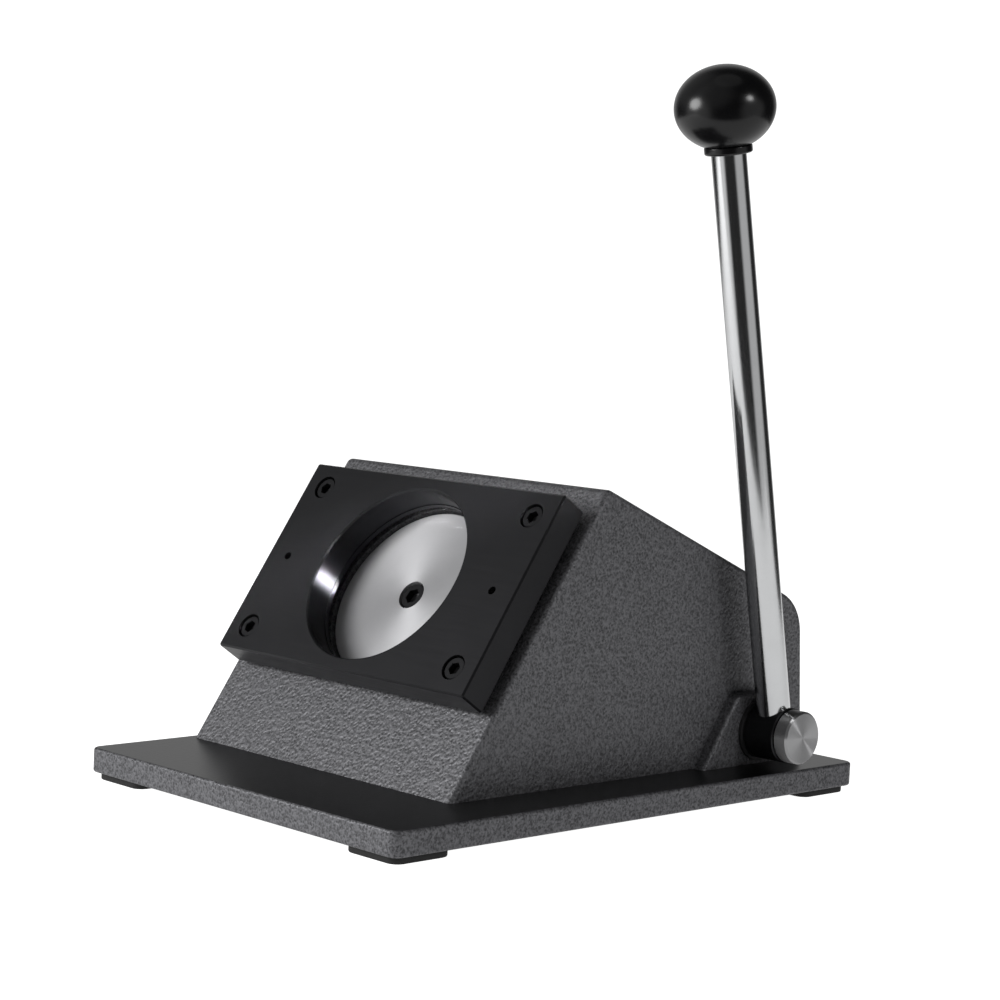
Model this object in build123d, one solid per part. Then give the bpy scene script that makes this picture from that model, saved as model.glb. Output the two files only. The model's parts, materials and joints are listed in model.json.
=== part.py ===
from build123d import *
import os
from math import acos, atan2, cos, degrees, hypot, pi, radians, sin, tan

# Desktop lever punch that cuts round blanks from card or thin sheet.
# The sheet goes into the slot behind the die plate; pulling the lever forward turns a cam,
# and the cam drives the punch out through the sheet into the die.
# Millimetres. +Z up, +X to the lever side, the sloping die face looks towards -Y.
# The origin is on the supporting surface, below the middle of the overall box.

os.makedirs("parts", exist_ok=True)

# ---- driving dimensions -------------------------------------------------------------

# base plate and feet
BASE_W = 158.3
BASE_D = 223.0
BASE_T = 8.5
BASE_CORNER_R = 4.0
BASE_EDGE_R = 1.0
FOOT_SIDE = 24.0
FOOT_T = 2.5
FOOT_INSET = 2.0
FOOT_CORNER_R = 4.0

# housing: a folded and welded steel shell, open underneath
HOUSING_W = 133.4
HOUSING_RIGHT_INSET = 21.7      # its right wall, from the base plate's right edge
HOUSING_FRONT_INSET = 42.5      # foot of the sloping front, from the base plate's front edge
HOUSING_REAR_INSET = 3.6        # foot of the rear wall, from the base plate's rear edge
SLOPE_DEG = 56.2                # sloping front, from the horizontal
SLOPE_LEN = 119.6
ROOF_DEG = 22.6                 # roof falls to the rear
REAR_LEAN_DEG = 5.1             # rear wall leans forward
REAR_TOP_R = 17.0
APEX_R = 2.5
HOUSING_EDGE_R = 1.8
WALL = 4.0

# die set, stacked outwards from the slope
PUNCH_UP_SLOPE = 69.6           # punch axis, from the foot of the slope
PUNCH_FROM_RIGHT = 66.0         # punch axis, from the housing's right side
DIE_W = 126.0
DIE_H = 77.0
DIE_T = 11.3
DIE_CHAMFER = 0.6
SHEET_GAP = 2.5                 # sheet slot between the slope and the die plate
CUT_D = 66.7                    # cutting diameter: the land in the die plate
LAND = 1.6
DIE_RELIEF = 0.3                # radial relief in front of the land
CUT_CLEARANCE = 0.05            # radial, punch in die and in its guide
WALL_HOLE_CLEARANCE = 0.7       # radial, punch in the housing's front wall
SCREW_X = 52.8
SCREW_S = 29.1
DOWEL_X = 52.4
DOWEL_D = 3.0
DOWEL_RECESS = 3.0
SPACER_D = 10.6
GUIDE_PLATE_W = 116.0
GUIDE_PLATE_H = 80.0
GUIDE_PLATE_T = 10.0

# screws: thread diameter, head diameter, head height, hexagon across flats
M5 = (5.0, 8.5, 5.0, 4.0)
M6 = (6.0, 10.0, 6.0, 5.0)
M8 = (8.0, 13.0, 8.0, 6.0)
SCREW_CLEARANCE = 0.25          # radial, shank in a plain hole
HEAD_CLEARANCE = 0.35           # radial, head in its counterbore
THREAD_FIT = 0.02               # radial, screw in its tapped hole
HEAD_SINK = 0.6                 # heads stand this far below the face
DIE_SCREW_LEN = 20.0
HEX_DEPTH = 2.6

# ram: punch, post and crosshead
PUNCH_LEN = 30.0
PUNCH_REST_DEPTH = 1.2          # punch face behind the slope at rest
PUNCH_CHAMFER = 0.4
PUNCH_SCREW_LEN = 35.0
POST_D = 30.0
POST_LEN = 30.8
CROSSHEAD_W = 112.0
CROSSHEAD_LOW = -16.0           # its edges, along the slope from the punch axis
CROSSHEAD_HIGH = 44.0
CROSSHEAD_T = 10.0
POST_SCREW_LEN = 22.0

# guide rods, bushes, springs and stop collars
ROD_X = 46.0
ROD_S = 14.0
ROD_D = 10.0
ROD_THREAD_D = 8.0
ROD_TAIL = 12.0                 # beyond the crosshead at rest
BUSH_WALL = 2.0
BUSH_FLANGE_D = 18.0
BUSH_FLANGE_T = 2.0
COLLAR_D = 18.0
COLLAR_T = 6.0
SPRING_WIRE = 1.6
SPRING_GAP = 0.5                # coil inside to rod
SPRING_TURNS = 7

# shaft and lift cam
SHAFT_D = 12.0
SHAFT_FROM_FRONT = 188.0        # from the base plate's front edge
SHAFT_HEIGHT = 12.2             # above the base plate
CAM_BASE_R = 12.73              # base circle of the cam's involute: lift for each radian of turn
CAM_DWELL_R = 16.0              # cam's reach towards the follower at rest
CAM_HUB_R = 10.4
CAM_NOSE_R = 3.0
CAM_W = 12.0
CAM_OVERRUN_DEG = 2.0
LEVER_TRAVEL_DEG = 63.0
CAM_GAP = 0.08                  # cam to wear pad
PAD_T = 4.0
PAD_W = 34.0
PAD_LOW = 26.0                  # along the slope from the punch axis
PAD_HIGH = 43.0
PAD_SCREW_X = 11.5
PAD_SCREW_D = 4.0
PAD_SCREW_HEAD_D = 7.4
PAD_SCREW_HEAD_H = 2.2
PAD_SCREW_LEN = 12.0
KEY_SIDE = 4.0
KEY_LEN = 11.0
KEY_FIT = 0.02

# bearings
BEARING_BUSH_D = 17.0
BEARING_CLEARANCE = 0.05        # radial, shaft in its bushes
PRESS_FIT_GAP = 0.01            # radial, bush in its housing
BOSS_T = 4.7                    # raised bearing boss outside the right wall
BOSS_FRONT = 159.2              # foot of the boss's front edge, from the base plate's front edge
BOSS_REAR = 208.0
BOSS_H = 25.5
BOSS_CORNER_R = 7.0
BOSS_EDGE_R = 1.2
LEFT_BLOCK_T = 10.0
LEFT_BLOCK_R = 15.0
SHAFT_COLLAR_D = 21.0
SHAFT_COLLAR_T = 8.0
GRUB_D = 4.0

# lever
LEVER_INSET = 9.4               # lever's centre plane, from the base plate's right edge
LEVER_LEAN_DEG = 12.0           # leans forward at rest
LEVER_REACH = 220.6             # pivot to the middle of the knob
WASHER_D = 22.0
WASHER_T = 1.0
SIDE_GAP = 0.1                  # running gap on the boss side
HUB_D = 19.5
HUB_LEN = 13.0
SHAFT_HEAD_D = 18.7
SHAFT_HEAD_T = 6.0
SHAFT_HEAD_CHAMFER = 0.7
LEVER_D = 12.0
LEVER_SEAT = 7.2                # lever rod's shoulder, from the shaft's axis
LEVER_PIN_D = 6.0
LEVER_PIN_PAST = 4.0            # rod's pin ends this far past the shaft's axis
SLIP_FIT = 0.03                 # radial, rod in hub and hub on shaft

# knob
KNOB_W = 34.4
KNOB_H = 28.8
KNOB_FLAT = 0.06                # depth of the small moulding flat on top
KNOB_COLLAR_D = 16.4
KNOB_COLLAR_TOP = 12.9          # below the knob's middle
KNOB_COLLAR_BOTTOM = 15.5
INSERT_D = 12.0
INSERT_LEN = 18.0
KNOB_THREAD_D = 8.0
KNOB_THREAD_LEN = 16.0

# fixing of the housing to the base plate
BLOCK_SIDE = 12.0
BLOCK_H = 12.0
BLOCK_FROM_FRONT = (75.0, 158.0)
BASE_SCREW_LEN = 16.0
BASE_SCREW_HEAD_D = 10.0
BASE_SCREW_HEAD_H = 2.8

# ---- derived places -----------------------------------------------------------------

knob_overhang = KNOB_W / 2 - LEVER_INSET
x_right = (BASE_W - knob_overhang) / 2          # base plate's right edge
x_base = x_right - BASE_W / 2
y_front = -BASE_D / 2
z_top = FOOT_T + BASE_T                         # base plate's top face
x_wall = x_right - HOUSING_RIGHT_INSET          # housing's right side
x_far = x_wall - HOUSING_W                      # housing's left side
x_mid = x_wall - PUNCH_FROM_RIGHT               # middle of the punch and the lift cam

slope = radians(SLOPE_DEG)
up_slope = Vector(0, cos(slope), sin(slope))
outward = Vector(0, -sin(slope), cos(slope))
slope_foot = Vector(x_mid, y_front + HOUSING_FRONT_INSET, z_top)
# slope frame: x across, y up the slope, z outwards, with its origin on the punch axis
slope_frame = Plane(origin=slope_foot + up_slope * PUNCH_UP_SLOPE, x_dir=(1, 0, 0), z_dir=outward)

shaft_y = y_front + SHAFT_FROM_FRONT
shaft_z = z_top + SHAFT_HEIGHT
# shaft frame: x is the model's Y, y is Z and z is X, so angles are those seen from the lever side
shaft_frame = Plane(origin=(0, shaft_y, shaft_z), x_dir=(0, 1, 0), z_dir=(1, 0, 0))
to_shaft = Vector(0, shaft_y, shaft_z) - slope_frame.origin
shaft_n = to_shaft.dot(outward)                 # shaft in the slope frame

wall_back = -WALL
guide_back = wall_back - GUIDE_PLATE_T
die_front = SHEET_GAP + DIE_T
punch_front = -PUNCH_REST_DEPTH
punch_back = punch_front - PUNCH_LEN
post_back = punch_back - POST_LEN
crosshead_back = post_back - CROSSHEAD_T
pad_face = shaft_n + CAM_DWELL_R + CAM_GAP
pad_back = pad_face + PAD_T
pad_s = (PAD_LOW + PAD_HIGH) / 2
rod_end = crosshead_back - ROD_TAIL

bush_r = ROD_D / 2 + CUT_CLEARANCE
x_boss = x_wall + BOSS_T
x_washer = x_boss + SIDE_GAP
x_hub = x_washer + WASHER_T + SIDE_GAP
x_hub_end = x_hub + HUB_LEN
x_lever = x_hub + HUB_LEN / 2
x_left_wall = x_far + WALL                      # inside of the left wall
x_left_block = x_left_wall + LEFT_BLOCK_T
x_shaft_end = x_left_wall + 0.5


# ---- helpers ------------------------------------------------------------------------

def save(node, *solids):
    """Write one node; separate pieces of the same kind share it."""
    shape = solids[0] if len(solids) == 1 else Compound(children=list(solids))
    export_step(shape, f"parts/{node}.step")


def rod(radius, low, high, x=0.0, y=0.0):
    """A cylinder along the local Z from low to high."""
    return Pos(x, y, (low + high) / 2) * Cylinder(radius, high - low)


def slab(x0, x1, y0, y1, z0, z1):
    """A box between two corners."""
    return Pos((x0 + x1) / 2, (y0 + y1) / 2, (z0 + z1) / 2) * Box(x1 - x0, y1 - y0, z1 - z0)


def on_slope(shape):
    """Place a shape made in the slope frame."""
    return slope_frame.location * shape


def on_shaft(shape):
    """Place a shape made in the shaft frame."""
    return shaft_frame.location * shape


def cap_screw(size, head_top, length, x=0.0, y=0.0):
    """A socket head screw that points down the local Z, with its head's top face at head_top."""
    thread_d, head_d, head_h, across_flats = size
    seat = head_top - head_h
    screw = rod(head_d / 2, seat, head_top, x, y) + rod(thread_d / 2, seat - length, seat, x, y)
    socket = extrude(RegularPolygon(across_flats / 2, 6, major_radius=False), HEX_DEPTH)
    return screw - Pos(x, y, head_top - HEX_DEPTH) * socket


def countersunk(thread_d, head_d, head_h, length, slot):
    """A countersunk screw that points up the local Z, with its head's face at z = 0."""
    screw = Pos(0, 0, head_h / 2) * Cone(head_d / 2, thread_d / 2, head_h)
    screw += rod(thread_d / 2, head_h, length)
    socket = extrude(RegularPolygon(slot / 2, 6, major_radius=False), head_h * 0.6)
    return screw - socket


def countersink(thread_d, head_d, head_h, depth):
    """The space for such a screw in the piece that it holds."""
    seat = Cone(head_d / 2 + SCREW_CLEARANCE, thread_d / 2 + SCREW_CLEARANCE, head_h)
    return Pos(0, 0, head_h / 2) * seat + rod(thread_d / 2 + SCREW_CLEARANCE, 0, depth)


# ---- base plate, feet and housing ---------------------------------------------------

block_places = [
    (x, y_front + d)
    for x in (x_left_wall + BLOCK_SIDE / 2, x_wall - WALL - BLOCK_SIDE / 2)
    for d in BLOCK_FROM_FRONT
]


def make_base_plate():
    """Steel plate with rounded corners, countersunk from below for the housing's screws."""
    outline = RectangleRounded(BASE_W, BASE_D, BASE_CORNER_R)
    plate = Pos(x_base, 0, FOOT_T) * extrude(outline, BASE_T)
    rims = plate.edges().filter_by(Plane.XY)
    plate = fillet(rims, BASE_EDGE_R)
    for x, y in block_places:
        hole = countersink(M5[0], BASE_SCREW_HEAD_D, BASE_SCREW_HEAD_H, BASE_T)
        plate -= Pos(x, y, FOOT_T) * hole
    return plate


def make_feet():
    """Four square rubber pads."""
    dx = BASE_W / 2 - FOOT_INSET - FOOT_SIDE / 2
    dy = BASE_D / 2 - FOOT_INSET - FOOT_SIDE / 2
    pad = extrude(RectangleRounded(FOOT_SIDE, FOOT_SIDE, FOOT_CORNER_R), FOOT_T)
    return [Pos(x_base + sx * dx, sy * dy, 0) * pad for sx in (-1, 1) for sy in (-1, 1)]


def housing_face(below):
    """Side profile of the housing in Y, Z, running on below the base plate by the given depth."""
    foot_y = HOUSING_FRONT_INSET
    apex = (foot_y + SLOPE_LEN * cos(slope), SLOPE_LEN * sin(slope))
    rear_y = BASE_D - HOUSING_REAR_INSET
    lean = tan(radians(REAR_LEAN_DEG))
    fall = tan(radians(ROOF_DEG))
    corner_z = (apex[1] - fall * (rear_y - apex[0])) / (1 - fall * lean)
    corner = (rear_y - corner_z * lean, corner_z)
    front = (foot_y - below / tan(slope), -below)
    rear = (rear_y + below * lean, -below)
    profile = Polyline(front, apex, corner, rear, close=True)
    face = make_face(profile)
    by_height = face.vertices().sort_by(Axis.Y)
    face = fillet(by_height[-2], REAR_TOP_R)
    return fillet(face.vertices().sort_by(Axis.Y)[-1], APEX_R)


def from_side(face, x0, x1):
    """Extrude a face drawn in Y, Z, measured from the base plate's front top edge."""
    side = Plane(origin=(x0, y_front, z_top), x_dir=(0, 1, 0), z_dir=(1, 0, 0))
    return side.location * extrude(face, x1 - x0)


def make_housing():
    """The shell, with the punch hole, screw and dowel holes, and the shaft's hole."""
    shell = from_side(housing_face(0), x_far, x_wall)
    sides = [e for e in shell.edges().filter_by(Axis.X, reverse=True) if e.center().Z > z_top + 1]
    shell = fillet(sides, HOUSING_EDGE_R)
    inside = offset(housing_face(4 * WALL), -WALL, kind=Kind.INTERSECTION)
    shell -= from_side(inside, x_left_wall, x_wall - WALL)
    holes = rod(CUT_D / 2 + WALL_HOLE_CLEARANCE, -2 * WALL, WALL)
    for x, y in screw_places:
        holes += rod(M5[0] / 2 + SCREW_CLEARANCE, -2 * WALL, WALL, x, y)
    for x in (-DOWEL_X, DOWEL_X):
        holes += rod(DOWEL_D / 2 + THREAD_FIT, -2 * WALL, WALL, x, 0)
    shell -= on_slope(holes)
    return shell - on_shaft(rod(BEARING_BUSH_D / 2 + PRESS_FIT_GAP, x_wall - WALL - 1, x_wall + 1))


screw_places = [(sx * SCREW_X, sy * SCREW_S) for sx in (-1, 1) for sy in (-1, 1)]


def make_blocks():
    """Tapped blocks welded inside the side walls, one above each base screw."""
    blocks = []
    for x, y in block_places:
        half = BLOCK_SIDE / 2
        block = slab(x - half, x + half, y - half, y + half, z_top, z_top + BLOCK_H)
        blocks.append(block - Pos(x, y, z_top) * rod(M5[0] / 2 + THREAD_FIT, -1, BLOCK_H + 1))
    return blocks


def make_base_screws():
    """Countersunk screws, from below."""
    screw = countersunk(M5[0], BASE_SCREW_HEAD_D, BASE_SCREW_HEAD_H, BASE_SCREW_LEN, 3.0)
    return [Pos(x, y, FOOT_T) * screw for x, y in block_places]


# ---- die set ------------------------------------------------------------------------

def make_die_plate():
    """Die plate with its cutting land at the back, counterbores and dowel holes."""
    plate = slab(-DIE_W / 2, DIE_W / 2, -DIE_H / 2, DIE_H / 2, SHEET_GAP, die_front)
    plate = chamfer(plate.edges(), DIE_CHAMFER)
    plate -= rod(CUT_D / 2, SHEET_GAP - 1, die_front + 1)
    plate -= rod(CUT_D / 2 + DIE_RELIEF, SHEET_GAP + LAND, die_front + 1)
    mouth = CUT_D / 2 + DIE_RELIEF
    plate -= Pos(0, 0, die_front - DIE_CHAMFER / 2) * Cone(mouth, mouth + DIE_CHAMFER, DIE_CHAMFER)
    seat = die_front - HEAD_SINK - M5[2]
    for x, y in screw_places:
        plate -= rod(M5[0] / 2 + SCREW_CLEARANCE, SHEET_GAP - 1, die_front, x, y)
        plate -= rod(M5[1] / 2 + HEAD_CLEARANCE, seat, die_front + 1, x, y)
    for x in (-DOWEL_X, DOWEL_X):
        plate -= rod(DOWEL_D / 2 + THREAD_FIT, SHEET_GAP - 1, die_front + 1, x, 0)
    return on_slope(plate)


def make_die_screws():
    """Four socket head screws through the die plate into the guide plate."""
    return [on_slope(cap_screw(M5, die_front - HEAD_SINK, DIE_SCREW_LEN, x, y))
            for x, y in screw_places]


def make_spacers():
    """Washers that hold the sheet slot open."""
    ring = rod(SPACER_D / 2, 0, SHEET_GAP) - rod(M5[0] / 2 + SCREW_CLEARANCE, -1, SHEET_GAP + 1)
    return [on_slope(Pos(x, y, 0) * ring) for x, y in screw_places]


def make_dowels():
    """Two pins that line the die plate up with the guide plate."""
    return [on_slope(rod(DOWEL_D / 2, guide_back + 1, die_front - DOWEL_RECESS, x, 0))
            for x in (-DOWEL_X, DOWEL_X)]


def make_guide_plate():
    """Plate behind the sloping wall: guides the punch and holds screws, pins and guide rods."""
    half_w = GUIDE_PLATE_W / 2
    half_h = GUIDE_PLATE_H / 2
    plate = slab(-half_w, half_w, -half_h, half_h, guide_back, wall_back)
    plate -= rod(CUT_D / 2, guide_back - 1, wall_back + 1)
    for x, y in screw_places:
        plate -= rod(M5[0] / 2 + THREAD_FIT, guide_back - 1, wall_back + 1, x, y)
    for x in (-DOWEL_X, DOWEL_X):
        plate -= rod(DOWEL_D / 2 + THREAD_FIT, guide_back - 1, wall_back + 1, x, 0)
    for x in (-ROD_X, ROD_X):
        plate -= rod(ROD_THREAD_D / 2 + THREAD_FIT, guide_back - 1, wall_back + 1, x, ROD_S)
    return on_slope(plate)


# ---- guide rods, springs and collars ------------------------------------------------

def make_guide_rods():
    """Ground rods screwed into the guide plate, with a chamfered free end."""
    shank = chamfer(rod(ROD_D / 2, rod_end, guide_back).edges().sort_by(Axis.Z)[0], 0.8)
    shank += rod(ROD_THREAD_D / 2, guide_back - 1, wall_back)
    return [on_slope(Pos(x, ROD_S, 0) * shank) for x in (-ROD_X, ROD_X)]


def make_stop_collars():
    """Collars on the rods that stop the crosshead at rest."""
    top = crosshead_back - BUSH_FLANGE_T - CAM_GAP
    ring = rod(COLLAR_D / 2, top - COLLAR_T, top) - rod(ROD_D / 2 + THREAD_FIT, rod_end, top + 1)
    ring = chamfer(ring.edges().group_by(Axis.Z)[-1], 0.5)
    return [on_slope(Pos(x, ROD_S, 0) * ring) for x in (-ROD_X, ROD_X)]


def make_springs():
    """Compression springs round the guide rods, between guide plate and crosshead."""
    low = post_back + SPRING_WIRE / 2 + THREAD_FIT
    high = guide_back - SPRING_WIRE / 2 - THREAD_FIT
    coil_r = ROD_D / 2 + SPRING_GAP + SPRING_WIRE / 2
    path = Helix((high - low) / SPRING_TURNS, high - low, coil_r)
    end = Plane(origin=path @ 0, z_dir=path % 0)
    coil = sweep(end * Circle(SPRING_WIRE / 2), path=path)
    return [on_slope(Pos(x, ROD_S, low) * coil) for x in (-ROD_X, ROD_X)]


# ---- ram ----------------------------------------------------------------------------

def make_punch():
    """Hardened punch with a counterbore for its screw."""
    punch = rod(CUT_D / 2 - CUT_CLEARANCE, punch_back, punch_front)
    punch = chamfer(punch.edges(), PUNCH_CHAMFER)
    punch -= rod(M6[0] / 2 + SCREW_CLEARANCE, punch_back - 1, punch_front)
    seat = punch_front - HEAD_SINK - M6[2]
    return on_slope(punch - rod(M6[1] / 2 + HEAD_CLEARANCE, seat, punch_front + 1))


def make_punch_screw():
    """Screw through the punch into the post."""
    return on_slope(cap_screw(M6, punch_front - HEAD_SINK, PUNCH_SCREW_LEN))


def make_post():
    """Post between punch and crosshead, tapped at both ends."""
    post = rod(POST_D / 2, post_back, punch_back)
    post -= rod(M6[0] / 2 + THREAD_FIT, punch_back - POST_LEN / 2, punch_back + 1)
    return on_slope(post - rod(M8[0] / 2 + THREAD_FIT, post_back - 1, post_back + POST_LEN / 2 - 1))


def make_post_screw():
    """Screw through the crosshead into the post, from behind."""
    screw = cap_screw(M8, 0, POST_SCREW_LEN)
    return on_slope(Pos(0, 0, crosshead_back - M8[2]) * (Rot(180, 0, 0) * screw))


def make_crosshead():
    """Plate that slides on the guide rods, with an arm that reaches back to the wear pad."""
    half = CROSSHEAD_W / 2
    plate = slab(-half, half, CROSSHEAD_LOW, CROSSHEAD_HIGH, crosshead_back, post_back)
    arm_half = PAD_W / 2
    plate += slab(-arm_half, arm_half, PAD_LOW, PAD_HIGH, pad_back, crosshead_back + 1)
    for x in (-ROD_X, ROD_X):
        plate -= rod(bush_r + BUSH_WALL + THREAD_FIT, crosshead_back - 1, post_back + 1, x, ROD_S)
    plate -= rod(M8[0] / 2 + SCREW_CLEARANCE, crosshead_back - 1, post_back + 1)
    for x in (-PAD_SCREW_X, PAD_SCREW_X):
        plate -= rod(PAD_SCREW_D / 2 + THREAD_FIT, pad_back - 1, pad_back + PAD_SCREW_LEN, x, pad_s)
    return on_slope(plate)


def make_crosshead_bushes():
    """Flanged bronze bushes in the crosshead."""
    bush = rod(bush_r + BUSH_WALL, crosshead_back, post_back)
    bush += rod(BUSH_FLANGE_D / 2, crosshead_back - BUSH_FLANGE_T, crosshead_back)
    bush -= rod(bush_r, crosshead_back - BUSH_FLANGE_T - 1, post_back + 1)
    return [on_slope(Pos(x, ROD_S, 0) * bush) for x in (-ROD_X, ROD_X)]


def make_wear_pad():
    """Hardened pad that the cam pushes."""
    half = PAD_W / 2
    pad = slab(-half, half, PAD_LOW, PAD_HIGH, pad_face, pad_back)
    hole = countersink(PAD_SCREW_D, PAD_SCREW_HEAD_D, PAD_SCREW_HEAD_H, PAD_T + 1)
    for x in (-PAD_SCREW_X, PAD_SCREW_X):
        pad -= Pos(x, pad_s, pad_face) * hole
    return on_slope(pad)


def make_pad_screws():
    """Countersunk screws that hold the wear pad."""
    screw = countersunk(PAD_SCREW_D, PAD_SCREW_HEAD_D, PAD_SCREW_HEAD_H, PAD_SCREW_LEN, 2.5)
    return [on_slope(Pos(x, pad_s, pad_face) * screw) for x in (-PAD_SCREW_X, PAD_SCREW_X)]


# ---- shaft, cam and bearings --------------------------------------------------------

def polar(radius, angle):
    """A point in the shaft frame's plane."""
    return Vector(radius * cos(angle), radius * sin(angle))


def cam_point(normal):
    """Point of the cam's involute flank whose outward normal stands at the given angle."""
    reach = CAM_DWELL_R + CAM_BASE_R * (slope + pi / 2 - normal)
    return polar(reach, normal) - polar(CAM_BASE_R, normal + pi / 2)


def cam_outline():
    """Lobe and hub of the cam: constant lift for each degree of turn."""
    start = slope + pi / 2
    end = start - radians(LEVER_TRAVEL_DEG + CAM_OVERRUN_DEG)
    steps = 6
    flank = [cam_point(start + (end - start) * i / steps) for i in range(steps + 1)]
    nose = flank[-1] - polar(CAM_NOSE_R, end)
    reach = hypot(nose.X, nose.Y)
    back = atan2(nose.Y, nose.X) - acos((CAM_HUB_R - CAM_NOSE_R) / reach)
    tip = nose + polar(CAM_NOSE_R, back)
    root = polar(CAM_HUB_R, back)
    toe = polar(CAM_DWELL_R, start)
    along = (polar(1, start - pi / 2), polar(1, end - pi / 2))
    edges = [
        Line((0, 0), toe),
        Line(toe, flank[0]),
        Spline(*flank, tangents=along),
        CenterArc(nose, CAM_NOSE_R, degrees(end), degrees(back - end)),
        Line(tip, root),
        Line(root, (0, 0)),
    ]
    return make_face(Wire(edges)) + Circle(CAM_HUB_R)


def key_slot(fit, length):
    """The key, or with a fit the slot for it, half in the shaft and half in the cam."""
    half = KEY_SIDE / 2 + fit
    middle = SHAFT_D / 2
    return slab(-half, half, -middle - half, -middle + half, x_mid - length / 2, x_mid + length / 2)


def make_shaft():
    """Pivot shaft with a turned head, put in from the lever side."""
    shaft = rod(SHAFT_D / 2, x_shaft_end, x_hub_end + 1)
    head = rod(SHAFT_HEAD_D / 2, x_hub_end, x_hub_end + SHAFT_HEAD_T)
    shaft += chamfer(head.edges(), SHAFT_HEAD_CHAMFER)
    shaft -= key_slot(KEY_FIT, KEY_LEN + 2 * KEY_FIT)
    shaft = on_shaft(shaft)
    return shaft - on_lever(rod(LEVER_PIN_D / 2 + SLIP_FIT, -SHAFT_D, SHAFT_D))


def make_cam():
    """Lift cam keyed to the shaft, with a tapped hole for its grub screw."""
    cam = Pos(0, 0, x_mid - CAM_W / 2) * extrude(cam_outline(), CAM_W)
    cam -= rod(SHAFT_D / 2 + SLIP_FIT, x_mid - CAM_W, x_mid + CAM_W)
    cam -= key_slot(KEY_FIT, CAM_W + 2)
    hole = rod(GRUB_D / 2 + THREAD_FIT, SHAFT_D / 2 - 1, CAM_HUB_R + 1)
    return on_shaft(cam - Pos(0, 0, x_mid) * (Rot(0, 90, 0) * hole))


def make_key():
    """Parallel key between shaft and cam."""
    return on_shaft(key_slot(0, KEY_LEN))


def make_shaft_collar():
    """Set collar beside the left bearing, which stops the shaft moving out."""
    low = x_left_block + SIDE_GAP
    ring = rod(SHAFT_COLLAR_D / 2, low, low + SHAFT_COLLAR_T)
    ring -= rod(SHAFT_D / 2 + SLIP_FIT, low - 1, low + SHAFT_COLLAR_T + 1)
    hole = rod(GRUB_D / 2 + THREAD_FIT, SHAFT_D / 2 - 1, SHAFT_COLLAR_D / 2 + 1)
    return on_shaft(ring - Pos(0, 0, low + SHAFT_COLLAR_T / 2) * (Rot(0, 90, 0) * hole))


def make_grub_screws():
    """Grub screws in the cam's hub and in the set collar."""
    low = x_left_block + SIDE_GAP
    screws = []
    for place, outer in ((x_mid, CAM_HUB_R), (low + SHAFT_COLLAR_T / 2, SHAFT_COLLAR_D / 2)):
        screw = rod(GRUB_D / 2, SHAFT_D / 2 + SLIP_FIT, outer - 0.3)
        screws.append(on_shaft(Pos(0, 0, place) * (Rot(0, 90, 0) * screw)))
    return screws


def boss_face():
    """Outline of the bearing boss in Y, Z: its front edge is parallel to the housing's slope."""
    lean = BOSS_H / tan(slope)
    outline = Polyline((BOSS_FRONT, 0), (BOSS_FRONT + lean, BOSS_H),
                       (BOSS_REAR - lean / 2, BOSS_H), (BOSS_REAR, 0), close=True)
    face = make_face(outline)
    return fillet(face.vertices().group_by(Axis.Y)[-1], BOSS_CORNER_R)


def make_boss():
    """Bearing boss welded to the outside of the right wall."""
    boss = from_side(boss_face(), x_wall, x_boss)
    rim = [e for e in boss.edges() if e.center().X > x_boss - 0.01 and e.center().Z > z_top + 1]
    boss = fillet(rim, BOSS_EDGE_R)
    return boss - on_shaft(rod(BEARING_BUSH_D / 2 + PRESS_FIT_GAP, x_wall - 1, x_boss + 1))


def bearing_bush(low, high):
    """Plain bronze bush round the shaft."""
    bush = rod(BEARING_BUSH_D / 2, low, high)
    return on_shaft(bush - rod(SHAFT_D / 2 + BEARING_CLEARANCE, low - 1, high + 1))


def make_left_block():
    """Bearing block welded inside the left wall."""
    block = rod(LEFT_BLOCK_R, x_left_wall, x_left_block)
    block += slab(-LEFT_BLOCK_R, LEFT_BLOCK_R, -SHAFT_HEIGHT - LEFT_BLOCK_R, 0,
                  x_left_wall, x_left_block)
    block -= slab(-2 * LEFT_BLOCK_R, 2 * LEFT_BLOCK_R, -4 * LEFT_BLOCK_R, -SHAFT_HEIGHT,
                  x_left_wall - 1, x_left_block + 1)
    return on_shaft(block - rod(BEARING_BUSH_D / 2 + PRESS_FIT_GAP, x_left_wall - 1,
                                x_left_block + 1))


# ---- lever and knob -----------------------------------------------------------------

lever_lean = radians(LEVER_LEAN_DEG)
# lever frame: z runs from the shaft's axis up the rod
lever_frame = Plane(origin=(x_lever, shaft_y, shaft_z), x_dir=(1, 0, 0),
                    z_dir=(0, -sin(lever_lean), cos(lever_lean)))


def on_lever(shape):
    """Place a shape made in the lever frame."""
    return lever_frame.location * shape


def make_hub():
    """Black hub on the shaft, with a socket for the lever rod."""
    hub = chamfer(rod(HUB_D / 2, x_hub, x_hub_end).edges(), 0.4)
    hub -= rod(SHAFT_D / 2 + SLIP_FIT, x_hub - 1, x_hub_end + 1)
    socket = rod(LEVER_D / 2 + SLIP_FIT, LEVER_SEAT, HUB_D)
    socket += rod(LEVER_PIN_D / 2 + SLIP_FIT, 0, LEVER_SEAT + 1)
    return on_shaft(hub) - on_lever(socket)


def make_washer():
    """Thrust washer between hub and boss."""
    ring = rod(WASHER_D / 2, x_washer, x_washer + WASHER_T)
    return on_shaft(ring - rod(SHAFT_D / 2 + BEARING_CLEARANCE, x_washer - 1, x_hub))


def make_lever_rod():
    """Plated rod with a pin at the foot and a threaded end in the knob."""
    top = LEVER_REACH - KNOB_COLLAR_BOTTOM
    lever = rod(LEVER_D / 2, LEVER_SEAT, top)
    lever += rod(LEVER_PIN_D / 2, -LEVER_PIN_PAST, LEVER_SEAT + 1)
    return on_lever(lever + rod(KNOB_THREAD_D / 2, top - 1, top + KNOB_THREAD_LEN))


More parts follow.
